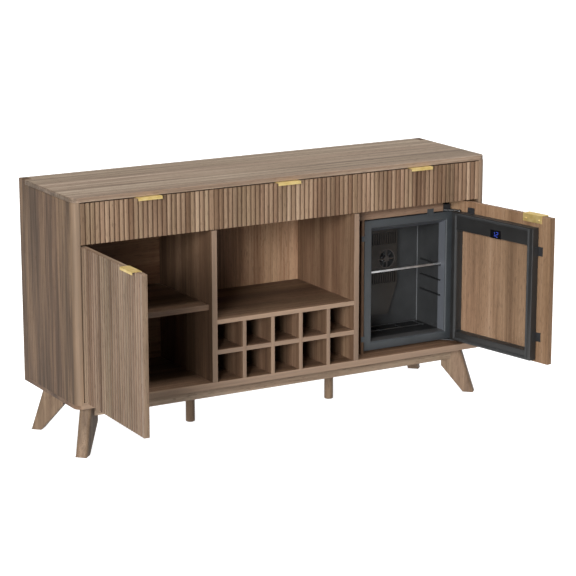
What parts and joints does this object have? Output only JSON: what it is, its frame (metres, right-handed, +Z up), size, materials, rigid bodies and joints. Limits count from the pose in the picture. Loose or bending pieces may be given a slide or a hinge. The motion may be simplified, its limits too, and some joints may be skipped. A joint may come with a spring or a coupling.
{
  "type": "wine bar cabinet",
  "caption": "Low sideboard wine cabinet with fluted drawers, a hinged door, an open niche, a bottle rack and a built-in glass-door wine fridge, on splayed tapered legs.",
  "frame": {"origin": "on the floor at the middle of the rest box, doors open", "axes": "+X to the right seen from the front, +Y to the back, +Z up; the front faces -Y"},
  "size_m": [1.5216, 0.8241, 0.815],
  "materials": {
    "body_wood": "satin grey-brown oak veneer",
    "fluted_wood": "satin fluted oak",
    "inner_wood": "satin oak veneer",
    "box_wood": "matte birch ply",
    "pull_brass": "brushed",
    "hinge_steel": "satin",
    "rail_steel": "zinc plated",
    "frame_plastic": "matte blue-grey",
    "liner_plastic": "matte dark grey",
    "black_plastic": "matte black",
    "shell_metal": "matte black paint",
    "foam": null,
    "clear_glass": "clear",
    "seal_rubber": "matte grey",
    "bright_trim": "polished",
    "wire_chrome": "satin",
    "sink_metal": "plain",
    "display_face": "gloss black with a lit readout"
  },
  "bodies": {
    "carcass": {"back_panel": "inner_wood", "bottom_panel": "body_wood", "centre_legs": "body_wood", "control_box": "black_plastic", "cooling_module": "sink_metal", "corner_legs": "body_wood", "drawer_decks": "inner_wood", "drawer_rails": "rail_steel", "evaporator_cover": "liner_plastic", "fan_guard": "black_plastic", "fan_motor": "hinge_steel", "floor_grid": "wire_chrome", "fridge_feet": "black_plastic", "fridge_filler_rail": "inner_wood", "fridge_frame": "frame_plastic", "fridge_hinge_brackets": "shell_metal", "fridge_insulation": "foam", "fridge_liner": "liner_plastic", "fridge_liner_board": "inner_wood", "fridge_shell": "shell_metal", "front_apron": "body_wood", "glass_shelf": "clear_glass", "hinge_pins": "hinge_steel", "left_divider": "inner_wood", "left_hinge_brackets": "hinge_steel", "left_shelf": "inner_wood", "left_side_panel": "body_wood", "mount_tabs": "frame_plastic", "niche_shelf": "inner_wood", "rack_shelf": "inner_wood", "rack_uprights": "inner_wood", "rear_stiles": "body_wood", "right_divider": "inner_wood", "right_side_panel": "body_wood", "shelf_pins": "hinge_steel", "shelf_trim": "bright_trim", "top_panel": "body_wood"},
    "left_drawer": {"left_drawer_front": "fluted_wood", "left_drawer_pull": "pull_brass", "left_drawer_box": "box_wood", "left_drawer_slides": "rail_steel"},
    "middle_drawer": {"middle_drawer_front": "fluted_wood", "middle_drawer_pull": "pull_brass", "middle_drawer_box": "box_wood", "middle_drawer_slides": "rail_steel"},
    "right_drawer": {"right_drawer_front": "fluted_wood", "right_drawer_pull": "pull_brass", "right_drawer_box": "box_wood", "right_drawer_slides": "rail_steel"},
    "left_door": {"left_door": "fluted_wood", "left_door_pull": "pull_brass"},
    "fridge_door": {"door_frame": "frame_plastic", "door_glass": "clear_glass", "door_gasket": "seal_rubber", "door_display": "display_face", "panel_brackets": "black_plastic", "fridge_panel": "fluted_wood", "fridge_panel_pull": "pull_brass"},
    "fan": {"fan_rotor": "black_plastic"}
  },
  "joints": [
    {"name": "left_drawer_slide", "type": "slide", "parent": "carcass", "child": "left_drawer", "axis": [0, -1, 0], "range_m": [0, 0.26]},
    {"name": "middle_drawer_slide", "type": "slide", "parent": "carcass", "child": "middle_drawer", "axis": [0, -1, 0], "range_m": [0, 0.26]},
    {"name": "right_drawer_slide", "type": "slide", "parent": "carcass", "child": "right_drawer", "axis": [0, -1, 0], "range_m": [0, 0.26]},
    {"name": "left_door_hinge", "type": "hinge", "parent": "carcass", "child": "left_door", "pos_m": [-0.72528, 0.02097, 0.42375], "axis": [0, 0, -1], "range_deg": [-91, 4]},
    {"name": "fridge_door_hinge", "type": "hinge", "parent": "carcass", "child": "fridge_door", "pos_m": [0.65422, 0.03797, 0.414], "axis": [0, 0, 1], "range_deg": [-101, 2]},
    {"name": "fan_spin", "type": "hinge", "parent": "carcass", "child": "fan", "pos_m": [0.48329, 0.22197, 0.45237], "axis": [0, 1, 0], "continuous": true}
  ]
}
